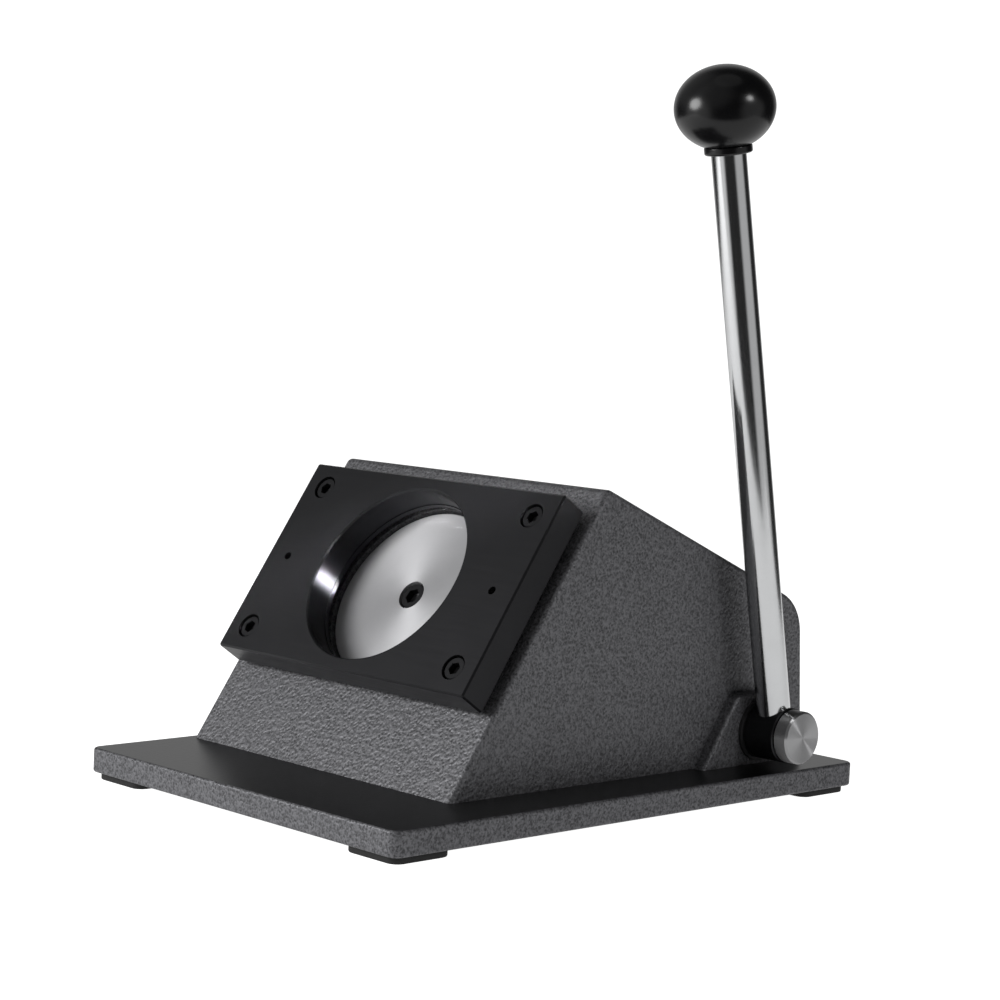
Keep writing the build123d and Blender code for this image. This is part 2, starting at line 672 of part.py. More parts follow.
def make_knob():
    """Flattened ball with a short neck, bored for its insert, turned as one profile."""
    bore_r = INSERT_D / 2 + THREAD_FIT
    bore_top = INSERT_LEN - KNOB_COLLAR_BOTTOM
    neck_h = KNOB_COLLAR_BOTTOM - KNOB_COLLAR_TOP + 2
    neck_r = KNOB_COLLAR_D / 2
    half = Pos(KNOB_W / 4, -KNOB_FLAT) * Rectangle(KNOB_W / 2, KNOB_H)
    profile = Ellipse(KNOB_W / 2, KNOB_H / 2) & half
    profile += Pos(neck_r / 2, neck_h / 2 - KNOB_COLLAR_BOTTOM) * Rectangle(neck_r, neck_h)
    bore_h = bore_top + KNOB_COLLAR_BOTTOM + 1
    profile -= Pos(bore_r / 2, bore_top - bore_h / 2) * Rectangle(bore_r, bore_h)
    foot = profile.vertices().sort_by(lambda v: v.X - v.Y)[-1]
    profile = chamfer(foot, 0.6)
    knob = revolve(Plane.XZ * profile, Axis.Z)
    return on_lever(Pos(0, 0, LEVER_REACH) * knob)


def make_insert():
    """Brass insert in the knob, tapped for the rod."""
    low = -KNOB_COLLAR_BOTTOM
    insert = rod(INSERT_D / 2, low, low + INSERT_LEN)
    insert -= rod(KNOB_THREAD_D / 2 + THREAD_FIT, low - 1, low + KNOB_THREAD_LEN + 0.5)
    return on_lever(Pos(0, 0, LEVER_REACH) * insert)


# ---- write the nodes ----------------------------------------------------------------

save("base_plate", make_base_plate())
save("rubber_feet", *make_feet())
save("housing_shell", make_housing())
save("mounting_blocks", *make_blocks())
save("base_screws", *make_base_screws())

save("die_plate", make_die_plate())
save("die_plate_screws", *make_die_screws())
save("die_spacer_washers", *make_spacers())
save("die_dowel_pins", *make_dowels())
save("punch_guide_plate", make_guide_plate())

save("guide_rods", *make_guide_rods())
save("rod_stop_collars", *make_stop_collars())
save("return_springs", *make_springs())

save("punch", make_punch())
save("punch_screw", make_punch_screw())
save("ram_post", make_post())
save("ram_post_screw", make_post_screw())
save("crosshead", make_crosshead())
save("crosshead_bushes", *make_crosshead_bushes())
save("wear_pad", make_wear_pad())
save("wear_pad_screws", *make_pad_screws())

save("pivot_shaft", make_shaft())
save("lift_cam", make_cam())
save("cam_key", make_key())
save("shaft_set_collar", make_shaft_collar())
save("grub_screws", *make_grub_screws())
save("bearing_boss", make_boss())
save("right_bearing_bush", bearing_bush(x_wall - WALL, x_boss))
save("left_bearing_block", make_left_block())
save("left_bearing_bush", bearing_bush(x_left_wall, x_left_block))

save("lever_hub", make_hub())
save("thrust_washer", make_washer())
save("lever_rod", make_lever_rod())
save("ball_knob", make_knob())
save("knob_insert", make_insert())
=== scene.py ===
"""Looks of a desktop lever punch for round blanks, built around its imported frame.

Lengths that come from the real tool are in millimetres and turn to metres where a mesh or a
node is made. +Z is up, the lever stands on the +X side and the sloping die face looks to -Y.
"""

import json
import logging
from dataclasses import dataclass, field
from enum import Enum
from math import atan2, cos, pi, radians, sin, sqrt

import bmesh
import bpy
from mathutils import Matrix, Vector


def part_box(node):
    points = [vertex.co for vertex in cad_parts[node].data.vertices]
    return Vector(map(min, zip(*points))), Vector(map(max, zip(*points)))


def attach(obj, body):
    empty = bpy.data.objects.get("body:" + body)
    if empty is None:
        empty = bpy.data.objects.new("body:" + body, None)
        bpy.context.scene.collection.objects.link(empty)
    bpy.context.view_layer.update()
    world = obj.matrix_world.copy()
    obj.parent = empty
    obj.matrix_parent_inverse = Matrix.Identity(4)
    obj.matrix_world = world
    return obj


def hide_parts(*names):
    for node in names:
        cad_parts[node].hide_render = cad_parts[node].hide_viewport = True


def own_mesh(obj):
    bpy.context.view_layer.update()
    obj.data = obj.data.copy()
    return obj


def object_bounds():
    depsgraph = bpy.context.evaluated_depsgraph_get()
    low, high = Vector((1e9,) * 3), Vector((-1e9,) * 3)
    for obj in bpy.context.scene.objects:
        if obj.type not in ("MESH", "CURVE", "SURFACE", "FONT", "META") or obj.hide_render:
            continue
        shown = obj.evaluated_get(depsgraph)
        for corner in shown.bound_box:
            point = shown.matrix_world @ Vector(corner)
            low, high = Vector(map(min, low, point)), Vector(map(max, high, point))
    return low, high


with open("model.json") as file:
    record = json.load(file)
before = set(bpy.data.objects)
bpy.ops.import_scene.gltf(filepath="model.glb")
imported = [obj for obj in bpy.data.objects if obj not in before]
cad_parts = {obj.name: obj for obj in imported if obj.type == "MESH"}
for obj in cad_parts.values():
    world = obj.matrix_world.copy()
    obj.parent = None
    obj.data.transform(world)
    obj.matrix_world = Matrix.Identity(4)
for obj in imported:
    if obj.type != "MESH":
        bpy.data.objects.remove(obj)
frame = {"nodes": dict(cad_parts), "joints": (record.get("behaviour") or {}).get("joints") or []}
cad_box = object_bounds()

MM = 0.001
log = logging.getLogger("lever_punch")

Loop = list[bmesh.types.BMVert]
Profile = list[tuple[float, float]]


# ---- small helpers --------------------------------------------------------------------


def linear(hex_colour: str) -> tuple[float, float, float, float]:
    """Turns an sRGB hex colour to linear.

    Args:
        hex_colour: six hex digits after a hash sign.

    Returns:
        Red, green, blue and an alpha of one.
    """
    parts = [int(hex_colour[i : i + 2], 16) / 255 for i in (1, 3, 5)]
    red, green, blue = (c / 12.92 if c <= 0.04045 else ((c + 0.055) / 1.055) ** 2.4 for c in parts)
    return red, green, blue, 1.0


def per_mm(pitch: float) -> float:
    """Scale of a pattern whose marks are pitch millimetres apart, in turns per metre."""
    return 1.0 / (pitch * MM)


def add_node(
    tree: bpy.types.NodeTree, kind: str, settings: dict | None = None, inputs: dict | None = None
) -> bpy.types.Node:
    """Adds a node with its settings, its input values and its links.

    Args:
        tree: the node tree that it goes in.
        kind: the node's type name after "ShaderNode".
        settings: the node's own properties.
        inputs: socket name or number to a value, or to the output socket that feeds it.

    Returns:
        The new node.
    """
    node = tree.nodes.new("ShaderNode" + kind)
    for name, value in (settings or {}).items():
        setattr(node, name, value)
    for name, value in (inputs or {}).items():
        if isinstance(value, bpy.types.NodeSocket):
            tree.links.new(value, node.inputs[name])
        else:
            node.inputs[name].default_value = value
    return node


@dataclass(frozen=True)
class Spindle:
    """A line that turned pieces are built round: a point on it, its direction and a side direction."""

    origin: Vector
    along: Vector
    side: Vector

    def place(self) -> Matrix:
        """Matrix that takes local Z to the line and local X to the side direction."""
        z = self.along.normalized()
        x = (self.side - self.side.dot(z) * z).normalized()
        y = z.cross(x)
        rows = [(x[i], y[i], z[i], self.origin[i]) for i in range(3)]
        return Matrix((*rows, (0, 0, 0, 1)))

    def moved(self, x: float, y: float, z: float) -> "Spindle":
        """The same line moved in its own directions, in metres."""
        return Spindle(self.place() @ Vector((x, y, z)), self.along, self.side)


# ---- the frame's own places -----------------------------------------------------------


@dataclass(frozen=True)
class Places:
    """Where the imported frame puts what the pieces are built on."""

    outward: Vector
    up_slope: Vector
    punch: Spindle
    shaft: Spindle
    lever: Spindle

    @staticmethod
    def read() -> "Places":
        """Reads the axes from the frame's joints and node boxes."""
        joints = {j["name"]: j for j in frame["joints"]}
        outward = Vector(joints["ram_slide"]["axis"]).normalized()
        across = Vector((1, 0, 0))
        up_slope = outward.cross(across).normalized()
        pivot = Vector(joints["lever_pull"]["pos_m"])
        punch_mid = middle("punch")
        knob_low, knob_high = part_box("knob_insert")
        top = (knob_low + knob_high) / 2
        hub_low, hub_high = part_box("lever_hub")
        pivot.x = (hub_low.x + hub_high.x) / 2
        return Places(
            outward=outward,
            up_slope=up_slope,
            punch=Spindle(punch_mid, outward, across),
            shaft=Spindle(pivot, across, Vector((0, 1, 0))),
            lever=Spindle(pivot, top - pivot, across),
        )

    def height(self, node: str) -> tuple[float, float]:
        """How far a node reaches along the punch's axis, from the punch's middle."""
        reach = [(v.co - self.punch.origin).dot(self.outward) for v in mesh_of(node).vertices]
        return min(reach), max(reach)


def middle(node: str) -> Vector:
    """Middle of a CAD node's box."""
    low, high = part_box(node)
    return (low + high) / 2


def mesh_of(node: str) -> bpy.types.Mesh:
    """The mesh of a CAD node."""
    return frame["nodes"][node].data


# ---- finishes -------------------------------------------------------------------------


class Lay(Enum):
    """Which way the marks of a worked surface run."""

    ALONG_X = "along_x"
    ALONG_Z = "along_z"
    NONE = "none"


STRETCH = {Lay.ALONG_X: (0.03, 1.0, 1.0), Lay.ALONG_Z: (1.0, 1.0, 0.03), Lay.NONE: (1.0, 1.0, 1.0)}


@dataclass(frozen=True)
class Finish:
    """A plain finish: its colour, gloss and the fine unevenness that every surface has."""

    name: str
    colour: str
    roughness: float
    metallic: float = 0.0
    specular: float = 0.5
    shade: str = ""
    mottle_mm: float = 6.0
    grain_mm: float = 0.5
    grain_depth_mm: float = 0.004
    roughness_spread: float = 0.06
    lay: Lay = Lay.NONE

    def make(self) -> bpy.types.Material:
        """Builds the material.

        Returns:
            A node material that can go on any number of pieces.
        """
        material = bpy.data.materials.new(self.name)
        material.use_nodes = True
        tree = material.node_tree
        shader = tree.nodes["Principled BSDF"]
        shader.inputs["Metallic"].default_value = self.metallic
        shader.inputs["Specular IOR Level"].default_value = self.specular
        self.work(tree, shader)
        return material

    def work(self, tree: bpy.types.NodeTree, shader: bpy.types.Node) -> None:
        """Adds the colour mottle, the uneven gloss and the grain.

        Args:
            tree: the material's node tree.
            shader: its Principled shader.
        """
        place = add_node(tree, "TexCoord").outputs["Object"]
        grain = add_node(
            tree,
            "TexNoise",
            inputs={"Vector": self.laid(tree, place), "Scale": per_mm(self.grain_mm), "Detail": 2.0},
        ).outputs["Fac"]
        self.mottle(tree, shader, place)
        self.uneven_gloss(tree, shader, grain)
        bump = add_node(
            tree,
            "Bump",
            inputs={"Strength": 1.0, "Distance": self.grain_depth_mm * MM, "Height": grain},
        )
        tree.links.new(bump.outputs["Normal"], shader.inputs["Normal"])

    def laid(self, tree: bpy.types.NodeTree, place: bpy.types.NodeSocket) -> bpy.types.NodeSocket:
        """Stretches the coordinates along the lay.

        Args:
            tree: the material's node tree.
            place: the coordinates.

        Returns:
            The stretched coordinates.
        """
        mapping = add_node(tree, "Mapping", inputs={"Vector": place, "Scale": STRETCH[self.lay]})
        return mapping.outputs["Vector"]

    def mottle(
        self, tree: bpy.types.NodeTree, shader: bpy.types.Node, place: bpy.types.NodeSocket
    ) -> None:
        """Drifts the colour slowly between its two shades.

        Args:
            tree: the material's node tree.
            shader: its Principled shader.
            place: the coordinates.
        """
        drift = add_node(
            tree, "TexNoise", inputs={"Vector": place, "Scale": per_mm(self.mottle_mm), "Detail": 3.0}
        )
        mix = add_node(
            tree,
            "Mix",
            {"data_type": "RGBA"},
            {0: drift.outputs["Fac"], 6: linear(self.colour), 7: linear(self.shade or self.colour)},
        )
        tree.links.new(mix.outputs[2], shader.inputs["Base Color"])

    def uneven_gloss(
        self, tree: bpy.types.NodeTree, shader: bpy.types.Node, grain: bpy.types.NodeSocket
    ) -> None:
        """Lets the roughness follow the grain.

        Args:
            tree: the material's node tree.
            shader: its Principled shader.
            grain: the grain's height, from 0 to 1.
        """
        spread = add_node(
            tree,
            "MapRange",
            inputs={
                "Value": grain,
                "From Min": 0.3,
                "From Max": 0.7,
                "To Min": self.roughness - self.roughness_spread / 2,
                "To Max": self.roughness + self.roughness_spread / 2,
            },
        )
        tree.links.new(spread.outputs["Result"], shader.inputs["Roughness"])


@dataclass(frozen=True)
class HammerEnamel(Finish):
    """Charcoal hammer enamel, sprayed on steel: the wet coat draws into small cells with metal flake."""

    cell_mm: float = 1.3
    cell_depth_mm: float = 0.22
    flake_mm: float = 0.7
    flows_out_with_painted_shade: bool = False
    # Near black on faces that look up: painted shade, darker than the coat's own colour.
    level_painted_shade_colour: str = "#09090a"
    flat_roughness: float = 0.3

    def work(self, tree: bpy.types.NodeTree, shader: bpy.types.Node) -> None:
        """Adds the cells, the flake and, where the coat lies level, the smoother skin and a painted
        shade that darkens its colour.

        Args:
            tree: the material's node tree.
            shader: its Principled shader.
        """
        place = add_node(tree, "TexCoord").outputs["Object"]
        wander = add_node(
            tree, "TexNoise", inputs={"Vector": place, "Scale": per_mm(2.5 * self.cell_mm)}
        )
        shift = add_node(
            tree,
            "VectorMath",
            {"operation": "MULTIPLY_ADD"},
            {0: wander.outputs["Color"], 1: [0.9 * self.cell_mm * MM] * 3, 2: place},
        )
        cells = add_node(
            tree,
            "TexVoronoi",
            {"feature": "SMOOTH_F1"},
            {"Vector": shift.outputs["Vector"], "Scale": per_mm(self.cell_mm), "Smoothness": 0.6},
        )
        flake = add_node(
            tree,
            "TexNoise",
            inputs={"Vector": place, "Scale": per_mm(self.flake_mm), "Detail": 1.0},
        )
        height = add_node(
            tree,
            "Math",
            {"operation": "MULTIPLY_ADD"},
            {0: flake.outputs["Fac"], 1: 0.35, 2: cells.outputs["Distance"]},
        )
        bump = add_node(
            tree,
            "Bump",
            inputs={"Distance": self.cell_depth_mm * MM, "Height": height.outputs["Value"]},
        )
        tree.links.new(bump.outputs["Normal"], shader.inputs["Normal"])
        flaked = self.flaked(tree, cells.outputs["Distance"], flake.outputs["Fac"])
        if self.flows_out_with_painted_shade:
            self.flow_out_with_painted_shade(tree, shader, flaked, bump)
        else:
            bump.inputs["Strength"].default_value = 1.0
            shader.inputs["Roughness"].default_value = self.roughness
            tree.links.new(flaked, shader.inputs["Base Color"])

    def flaked(
        self, tree: bpy.types.NodeTree, cell: bpy.types.NodeSocket, flake: bpy.types.NodeSocket
    ) -> bpy.types.NodeSocket:
        """Mottles the colour with the cells and the flake between them.

        Args:
            tree: the material's node tree.
            cell: the cells' pattern.
            flake: the flake's pattern.

        Returns:
            The mottled colour.
        """
        both = add_node(tree, "Math", {"operation": "MULTIPLY_ADD"}, {0: cell, 1: 0.35, 2: flake})
        dark_to_light = add_node(
            tree, "MapRange", inputs={"Value": both.outputs[0], "From Min": 0.45, "From Max": 0.82}
        )
        mix = add_node(
            tree,
            "Mix",
            {"data_type": "RGBA"},
            {0: dark_to_light.outputs["Result"], 6: linear(self.shade), 7: linear(self.colour)},
        )
        return mix.outputs[2]

    def flow_out_with_painted_shade(
        self,
        tree: bpy.types.NodeTree,
        shader: bpy.types.Node,
        flaked: bpy.types.NodeSocket,
        bump: bpy.types.Node,
    ) -> None:
        """Makes the coat smoother and glossier where it lies level, and darkens its colour there to near
        black as painted shade.

        Args:
            tree: the material's node tree.
            shader: its Principled shader.
            flaked: the mottled colour.
            bump: the bump that the cells feed.
        """
        level = self.level(tree)
        # Painted shade: the level faces take the near black colour.
        colour = add_node(
            tree,
            "Mix",
            {"data_type": "RGBA"},
            {0: level, 6: flaked, 7: linear(self.level_painted_shade_colour)},
        )
        tree.links.new(colour.outputs[2], shader.inputs["Base Color"])
        for socket, rough_value, level_value in (
            (shader.inputs["Roughness"], self.roughness, self.flat_roughness),
            (shader.inputs["Metallic"], self.metallic, 0.0),
            (bump.inputs["Strength"], 1.0, 0.1),
        ):
            share = add_node(
                tree,
                "MapRange",
                inputs={"Value": level, "To Min": rough_value, "To Max": level_value},
            )
            tree.links.new(share.outputs["Result"], socket)

    def level(self, tree: bpy.types.NodeTree) -> bpy.types.NodeSocket:
        """Says where the coat lies level and flows out, which is also where the painted shade goes: 1 on
        faces that look straight up.

        Args:
            tree: the material's node tree.

        Returns:
            The share of level skin.
        """
        facing = add_node(tree, "TexCoord").outputs["Normal"]
        upward = add_node(tree, "SeparateXYZ", inputs={0: facing}).outputs["Z"]
        share = add_node(tree, "MapRange", inputs={"Value": upward, "From Min": 0.9, "From Max": 0.995})
        return share.outputs["Result"]


@dataclass(frozen=True)
class TurnedFinish(Finish):
    """Metal faced in a lathe: fine rings round the axis, which smear each light into a bow tie."""

    ring_mm: float = 0.35
    ring_depth_mm: float = 0.0015
    anisotropy: float = 0.75
    origin: tuple[float, float, float] = (0.0, 0.0, 0.0)
    along: tuple[float, float, float] = (0.0, 0.0, 1.0)

    def work(self, tree: bpy.types.NodeTree, shader: bpy.types.Node) -> None:
        """Adds the rings and points the shader's tangent round the axis.

        Args:
            tree: the material's node tree.
            shader: its Principled shader.
        """
        place = add_node(tree, "TexCoord").outputs["Object"]
        arm = add_node(
            tree, "VectorMath", {"operation": "SUBTRACT"}, {0: place, 1: self.origin}
        ).outputs["Vector"]
        round_axis = add_node(
            tree, "VectorMath", {"operation": "CROSS_PRODUCT"}, {0: self.along, 1: arm}
        )
        radius = add_node(
            tree, "VectorMath", {"operation": "LENGTH"}, {0: round_axis.outputs["Vector"]}
        )
        rings = add_node(
            tree,
            "TexNoise",
            {"noise_dimensions": "1D"},
            {"W": radius.outputs["Value"], "Scale": per_mm(self.ring_mm), "Detail": 3.0},
        ).outputs["Fac"]
        tangent = add_node(
            tree,
            "VectorTransform",
            {"vector_type": "NORMAL", "convert_from": "OBJECT", "convert_to": "WORLD"},
            {"Vector": round_axis.outputs["Vector"]},
        )
        tree.links.new(tangent.outputs["Vector"], shader.inputs["Tangent"])
        shader.inputs["Anisotropic"].default_value = self.anisotropy
        shader.inputs["Anisotropic Rotation"].default_value = 0.25
        self.mottle(tree, shader, place)
        self.uneven_gloss(tree, shader, rings)
        bump = add_node(
            tree,
            "Bump",
            inputs={"Strength": 1.0, "Distance": self.ring_depth_mm * MM, "Height": rings},
        )
        tree.links.new(bump.outputs["Normal"], shader.inputs["Normal"])


# ---- mesh work ------------------------------------------------------------------------


def ring(mesh: bmesh.types.BMesh, radius: float, height: float, steps: int) -> Loop:
    """Adds a ring of vertices round local Z.

    Args:
        mesh: the mesh that it goes in.
        radius: in metres.
        height: along local Z, in metres.
        steps: number of vertices.

    Returns:
        The ring's vertices in order.
    """
    turn = 2 * pi / steps
    return [
        mesh.verts.new((radius * cos(i * turn), radius * sin(i * turn), height))
        for i in range(steps)
    ]


def bridge(mesh: bmesh.types.BMesh, low: Loop, high: Loop) -> None:
    """Joins two loops of the same length with quads."""
    count = len(low)
    for i in range(count):
        j = (i + 1) % count
        mesh.faces.new((low[i], low[j], high[j], high[i]))


def cap(mesh: bmesh.types.BMesh, loop: Loop, tip: Vector) -> None:
    """Closes a loop with a fan of triangles.

    Args:
        mesh: the mesh that holds the loop.
        loop: its vertices in order.
        tip: where the fan meets.
    """
    centre = mesh.verts.new(tip)
    count = len(loop)
    for i in range(count):
        mesh.faces.new((loop[i], loop[(i + 1) % count], centre))


def to_object(
    mesh: bmesh.types.BMesh, name: str, place: Matrix, sharp_deg: float = 35.0
) -> bpy.types.Object:
    """Turns a finished mesh into an object with smooth faces and sharp corners.

    Args:
        mesh: the mesh, which is freed.
        name: the piece's name.
        place: its place in the row frame.
        sharp_deg: edges that turn by more than this stay sharp.

    Returns:
        The new object.
    """
    bmesh.ops.recalc_face_normals(mesh, faces=mesh.faces)
    for face in mesh.faces:
        face.smooth = True
    for edge in mesh.edges:
        edge.smooth = len(edge.link_faces) == 2 and edge.calc_face_angle() < radians(sharp_deg)
    data = bpy.data.meshes.new(name)
    mesh.to_mesh(data)
    mesh.free()
    piece = bpy.data.objects.new(name, data)
    bpy.context.scene.collection.objects.link(piece)
    piece.matrix_world = place
    return piece


def turned(mesh: bmesh.types.BMesh, profile: Profile, steps: int = 128) -> None:
    """Adds a solid turned from a closed run of points, from the axis back to the axis.

    Args:
        mesh: the mesh that it goes in.
        profile: radius and height in millimetres; the first and last points are on the axis.
        steps: vertices round the axis.
    """
    loops = [ring(mesh, r * MM, z * MM, steps) for r, z in profile[1:-1]]
    for low, high in zip(loops, loops[1:]):
        bridge(mesh, low, high)
    cap(mesh, loops[0], Vector((0, 0, profile[0][1] * MM)))
    cap(mesh, loops[-1], Vector((0, 0, profile[-1][1] * MM)))


def rounded(corners: Profile, radii: list[float], steps: int = 5) -> Profile:
    """Rounds the corners of a run of points.

    Args:
        corners: the points, in millimetres.
        radii: a radius for each corner between the ends.
        steps: points on each arc.

    Returns:
        The run with an arc at each corner.
    """
    run = [corners[0]]
    for before, corner, after, radius in zip(corners, corners[1:], corners[2:], radii):
        a, b, c = Vector(before), Vector(corner), Vector(after)
        back, on = (a - b).normalized(), (c - b).normalized()
        half = back.angle(on) / 2
        reach = radius / max(1e-6, abs(sin(half) / cos(half)))
        centre = b + (back + on).normalized() * (radius / sin(half))
        start, end = b + back * reach - centre, b + on * reach - centre
        first = atan2(start.y, start.x)
        turn = (atan2(end.y, end.x) - first + pi) % (2 * pi) - pi
        for i in range(steps + 1):
            angle = first + turn * i / steps
            run.append((centre.x + radius * cos(angle), centre.y + radius * sin(angle)))
    return run + [corners[-1]]


# ---- screws ---------------------------------------------------------------------------


@dataclass(frozen=True)
class CapScrew:
    """Black socket head screw: knurled head, broken top edge, hexagon socket and coarse thread."""

    thread_d: float
    head_d: float
    head_h: float
    across_flats: float
    length: float
    socket_depth: float
    pitch: float = 0.8
    top_break: float = 0.45
    knurl_depth: float = 0.12
    side_steps: int = 12
    socket_break: float = 0.15
    foot_break: float = 0.4
    crest_width: float = 0.1
    drill_share: float = 0.3  # of the socket's width, below its floor
    thread_share: float = 2.4  # of the thread's diameter
    root_share: float = 0.61  # of the pitch

    @property
    def steps(self) -> int:
        """Vertices round the screw, so that the socket's six corners fall on some."""
        return 6 * self.side_steps

    def hexagon(self, mesh: bmesh.types.BMesh, height: float, grow: float = 0.0) -> Loop:
        """Adds a loop on the socket's hexagon.

        Args:
            mesh: the mesh that it goes in.
            height: along the axis, in millimetres.
            grow: how far the loop stands outside the socket.

        Returns:
            Its vertices in order.
        """
        flat = self.across_flats / 2
        corner = flat / cos(pi / 6) + grow
        loop = []
        for i in range(self.steps):
            angle = 2 * pi * i / self.steps
            away = (angle % (pi / 3)) - pi / 6
            radius = min(flat / cos(away) + grow, corner) * MM
            loop.append(mesh.verts.new((radius * cos(angle), radius * sin(angle), height * MM)))
        return loop

    def knurled(self, mesh: bmesh.types.BMesh, height: float) -> Loop:
        """Adds a loop on the head's knurled side.

        Args:
            mesh: the mesh that it goes in.
            height: along the axis, in millimetres.

        Returns:
            Its vertices in order.
        """
        loop = []
        for i in range(self.steps):
            angle = 2 * pi * i / self.steps
            dip = self.knurl_depth * (i % 2)
            radius = (self.head_d / 2 - dip) * MM
            loop.append(mesh.verts.new((radius * cos(angle), radius * sin(angle), height * MM)))
        return loop

    def build(self, mesh: bmesh.types.BMesh) -> None:
        """Adds the whole screw, with its head's top face at local Z of zero.

        Args:
            mesh: the mesh that it goes in.
        """
        depth, head = self.socket_depth, self.head_h
        root = self.thread_d / 2 - self.root_share * self.pitch
        loops = [
            self.hexagon(mesh, -depth),
            self.hexagon(mesh, -self.socket_break),
            self.hexagon(mesh, 0.0, self.socket_break),
            ring(mesh, (self.head_d / 2 - self.top_break) * MM, 0.0, self.steps),
            self.knurled(mesh, -self.top_break),
            self.knurled(mesh, self.foot_break - head),
            ring(mesh, (self.head_d / 2 - self.foot_break) * MM, -head * MM, self.steps),
            ring(mesh, self.thread_d / 2 * MM, -head * MM, self.steps),
        ]
        plain = max(0.0, self.length - self.thread_share * self.thread_d)
        turns = int((self.length - plain) / self.pitch)
        for i in range(turns):
            start = head + plain + i * self.pitch
            crest = -(start + self.crest_width) * MM
            loops.append(ring(mesh, self.thread_d / 2 * MM, crest, self.steps))
            loops.append(ring(mesh, root * MM, -(start + self.pitch / 2) * MM, self.steps))
        loops.append(ring(mesh, root * MM, -(head + self.length) * MM, self.steps))
        for low, high in zip(loops, loops[1:]):
            bridge(mesh, low, high)
        drill_point = -(depth + self.drill_share * self.across_flats)
        cap(mesh, loops[0], Vector((0, 0, drill_point * MM)))
        cap(mesh, loops[-1], Vector((0, 0, -(head + self.length) * MM)))


# ---- the tool -------------------------------------------------------------------------


@dataclass
class Shop:
    """Everything that the pieces share: the frame's places and the finishes, made once each."""

    places: Places
    made: dict[str, bpy.types.Material] = field(default_factory=dict)

    def coat(self, finish: Finish) -> bpy.types.Material:
        """The finish's material, made at its first use."""
        if finish.name not in self.made:
            self.made[finish.name] = finish.make()
        return self.made[finish.name]

    def dress(self, piece: bpy.types.Object, finish: Finish) -> bpy.types.Object:
        """Gives a piece or a CAD node one finish all over."""
        material = self.coat(finish)
        if not piece.data.materials:
            piece.data.materials.append(material)
        for i in range(len(piece.material_slots)):
            piece.material_slots[i].material = material
        return piece

    def dress_nodes(self, finish: Finish, *nodes: str) -> None:
        """Gives CAD nodes one finish and reports them."""
        for node in nodes:
            self.dress(frame["nodes"][node], finish)
            log.info("%s: %s", node, finish.name)

    def settle(
        self, piece: bpy.types.Object, finish: Finish, body: str, slot: str, *nodes: str
    ) -> bpy.types.Object:
        """Dresses a new piece, ties it to its body and puts it in its nodes' place.

        Args:
            piece: the new piece.
            finish: its finish.
            body: the body that it moves with.
            slot: the record's slot that its finish stands for; not used.
            nodes: the CAD nodes that it replaces.

        Returns:
            The piece.
        """
        self.dress(piece, finish)
        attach(piece, body)
        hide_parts(*nodes)
        log.info("%s: %s, rides on %s", piece.name, finish.name, body)
        return piece


# Charcoal hammer enamel on sheet steel, sprayed and stoved. It reads as dark grey with a fine
# light and dark speckle, dull but with a metal glint where a light lies near the mirror angle.
ENAMEL = HammerEnamel("hammer_enamel", colour="#68686b", shade="#404042", roughness=0.5, metallic=0.55)
# The same enamel on the base plate: it flows out level on top, so that face is smooth and satin; its
# colour there is also darkened to near black as painted shade.
BASE_ENAMEL = HammerEnamel(
    "hammer_enamel_level_painted_shade",
    colour="#67676a",
    shade="#3c3c3e",
    roughness=0.5,
    metallic=0.55,
    specular=0.3,
    flows_out_with_painted_shade=True,
)
# Black oxide on ground tool steel: near black and satin, with faint grinding lines.
BLACK_OXIDE = Finish(
    "black_oxide_steel",
    colour="#262628",
    shade="#202022",
    roughness=0.42,
    metallic=0.8,
    mottle_mm=14.0,
    grain_mm=0.6,
    grain_depth_mm=0.003,
    lay=Lay.ALONG_X,
)
# Oiled black oxide on heat-treated screws: darker and a little glossier than the plate.
BLACK_SCREW = Finish(
    "black_oxide_screw", colour="#1c1c1e", shade="#242426", roughness=0.36, metallic=0.7, grain_mm=0.3
)
RUBBER = Finish(
    "moulded_rubber",
    colour="#0b0b0b",
    shade="#101010",
    roughness=0.82,
    grain_mm=0.5,
    grain_depth_mm=0.02,
)
# Polished phenolic: jet black, moulded and buffed, so it mirrors the lamps softly.
PHENOLIC = Finish(
    "polished_phenolic",
    colour="#0b0b0c",
    shade="#0e0e0f",
    roughness=0.22,
    specular=0.3,
    grain_mm=3.0,
    grain_depth_mm=0.002,
    roughness_spread=0.03,
)
# Bright chrome on drawn bar: a clear mirror, faintly streaked along the bar.
CHROME = Finish(
    "bright_chrome_plate",
    colour="#c4c5c6",
    shade="#bcbdbe",
    roughness=0.14,
    metallic=1.0,
    grain_mm=0.35,
    grain_depth_mm=0.0006,
    roughness_spread=0.04,
    lay=Lay.ALONG_Z,
)
MILD_STEEL = Finish(
    "cold_rolled_steel", colour="#8f9092", shade="#7d7e80", roughness=0.42, metallic=1.0, grain_mm=0.8
)
GROUND_STEEL = Finish(
    "ground_steel",
    colour="#b9babb",
    shade="#adaeaf",
    roughness=0.24,
    metallic=1.0,
    grain_mm=0.4,
    grain_depth_mm=0.001,
)
SPRING_WIRE = Finish(
    "oil_tempered_wire", colour="#5c5b5a", shade="#4b4a49", roughness=0.35, metallic=1.0
)
BRONZE = Finish(
    "sintered_bronze", colour="#a97c4c", shade="#8f6a42", roughness=0.45, metallic=1.0, grain_mm=0.3
)
# Moulded black nylon for the thrust washer by the hub: partly its own colour, partly painted shade that
# widens the dark patch beside the hub.
NYLON_AND_PAINTED_SHADE = Finish("moulded_nylon_and_painted_shade", colour="#141415", shade="#18181a", roughness=0.55, grain_mm=0.6)
BRASS = Finish("turned_brass", colour="#c9a45c", shade="#bd9850", roughness=0.3, metallic=1.0)


